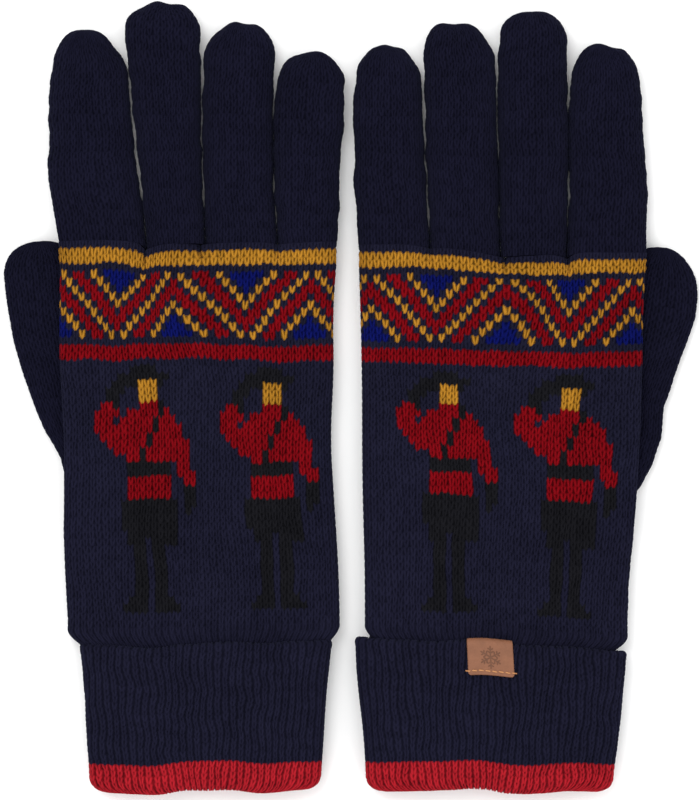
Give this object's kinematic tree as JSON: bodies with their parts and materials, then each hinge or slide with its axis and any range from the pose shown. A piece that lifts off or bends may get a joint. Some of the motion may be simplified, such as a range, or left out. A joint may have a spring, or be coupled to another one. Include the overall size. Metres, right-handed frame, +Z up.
{
  "type": "knitted gloves",
  "caption": "Pair of knitted gloves lying palm down, with turned-back ribbed cuffs, a colour-work pattern on the hands, and hinged wrists, fingers and thumbs.",
  "frame": {"origin": "on the table, under the middle of the pair", "axes": "+X across the pair from the right-hand glove to the left-hand glove, +Y towards the fingertips, +Z up from the table to the backs of the hands"},
  "size_m": [0.2464, 0.285, 0.0176],
  "materials": {
    "patterned_knit": "matte knitted wool, navy with a red, yellow, blue and black pattern",
    "navy_knit": "matte knitted wool, plain stitch",
    "navy_rib": "matte knitted wool, one-by-one rib",
    "red_rib": "matte knitted wool, one-by-one rib",
    "label_leather": "tan grain leather, debossed",
    "label_thread": "matte sewing thread"
  },
  "bodies": {
    "right_cuff_body": {"right_cuff_turnback": "navy_rib", "right_cuff_lining": "navy_rib", "right_cuff_red_band": "red_rib"},
    "right_hand_body": {"right_hand": "patterned_knit", "right_thumb_root": "navy_knit", "right_index_root": "patterned_knit", "right_middle_root": "patterned_knit", "right_ring_root": "patterned_knit", "right_little_root": "patterned_knit"},
    "right_index_body": {"right_index_finger": "navy_knit"},
    "right_middle_body": {"right_middle_finger": "navy_knit"},
    "right_ring_body": {"right_ring_finger": "navy_knit"},
    "right_little_body": {"right_little_finger": "navy_knit"},
    "right_thumb_body": {"right_thumb": "navy_knit"},
    "left_cuff_body": {"left_cuff_turnback": "navy_rib", "left_cuff_lining": "navy_rib", "left_cuff_red_band": "red_rib", "leather_label": "label_leather", "label_stitches": "label_thread"},
    "left_hand_body": {"left_hand": "patterned_knit", "left_thumb_root": "navy_knit", "left_index_root": "patterned_knit", "left_middle_root": "patterned_knit", "left_ring_root": "patterned_knit", "left_little_root": "patterned_knit"},
    "left_index_body": {"left_index_finger": "navy_knit"},
    "left_middle_body": {"left_middle_finger": "navy_knit"},
    "left_ring_body": {"left_ring_finger": "navy_knit"},
    "left_little_body": {"left_little_finger": "navy_knit"},
    "left_thumb_body": {"left_thumb": "navy_knit"}
  },
  "joints": [
    {"name": "pair_gap", "type": "slide", "parent": "right_cuff_body", "child": "left_cuff_body", "axis": [1, 0, 0], "range_m": [0, 0.1]},
    {"name": "right_wrist", "type": "hinge", "parent": "right_cuff_body", "child": "right_hand_body", "pos_m": [-0.05, -0.0794, 0.007], "axis": [1, 0, 0], "range_deg": [-70, 60]},
    {"name": "right_index_knuckle", "type": "hinge", "parent": "right_hand_body", "child": "right_index_body", "pos_m": [-0.093, 0.055, 0.007], "axis": [-1, 0, 0], "range_deg": [-30, 90], "deforming": ["right_index_root"]},
    {"name": "right_middle_knuckle", "type": "hinge", "parent": "right_hand_body", "child": "right_middle_body", "pos_m": [-0.06675, 0.055, 0.007], "axis": [-1, 0, 0], "range_deg": [-30, 90], "deforming": ["right_middle_root"]},
    {"name": "right_ring_knuckle", "type": "hinge", "parent": "right_hand_body", "child": "right_ring_body", "pos_m": [-0.04075, 0.055, 0.007], "axis": [-1, 0, 0], "range_deg": [-30, 90], "deforming": ["right_ring_root"]},
    {"name": "right_little_knuckle", "type": "hinge", "parent": "right_hand_body", "child": "right_little_body", "pos_m": [-0.01575, 0.055, 0.007], "axis": [-1, 0, 0], "range_deg": [-30, 90], "deforming": ["right_little_root"]},
    {"name": "right_thumb_spread", "type": "hinge", "parent": "right_hand_body", "child": "right_thumb_body", "pos_m": [-0.0963, -0.025, 0.0038], "axis": [0, 0, 1], "range_deg": [0, 50], "deforming": ["right_thumb_root"]},
    {"name": "left_wrist", "type": "hinge", "parent": "left_cuff_body", "child": "left_hand_body", "pos_m": [0.05, -0.0794, 0.007], "axis": [1, 0, 0], "range_deg": [-70, 60]},
    {"name": "left_index_knuckle", "type": "hinge", "parent": "left_hand_body", "child": "left_index_body", "pos_m": [0.093, 0.055, 0.007], "axis": [-1, 0, 0], "range_deg": [-30, 90], "deforming": ["left_index_root"]},
    {"name": "left_middle_knuckle", "type": "hinge", "parent": "left_hand_body", "child": "left_middle_body", "pos_m": [0.06675, 0.055, 0.007], "axis": [-1, 0, 0], "range_deg": [-30, 90], "deforming": ["left_middle_root"]},
    {"name": "left_ring_knuckle", "type": "hinge", "parent": "left_hand_body", "child": "left_ring_body", "pos_m": [0.04075, 0.055, 0.007], "axis": [-1, 0, 0], "range_deg": [-30, 90], "deforming": ["left_ring_root"]},
    {"name": "left_little_knuckle", "type": "hinge", "parent": "left_hand_body", "child": "left_little_body", "pos_m": [0.01575, 0.055, 0.007], "axis": [-1, 0, 0], "range_deg": [-30, 90], "deforming": ["left_little_root"]},
    {"name": "left_thumb_spread", "type": "hinge", "parent": "left_hand_body", "child": "left_thumb_body", "pos_m": [0.0963, -0.025, 0.0038], "axis": [0, 0, -1], "range_deg": [0, 50], "deforming": ["left_thumb_root"]}
  ]
}
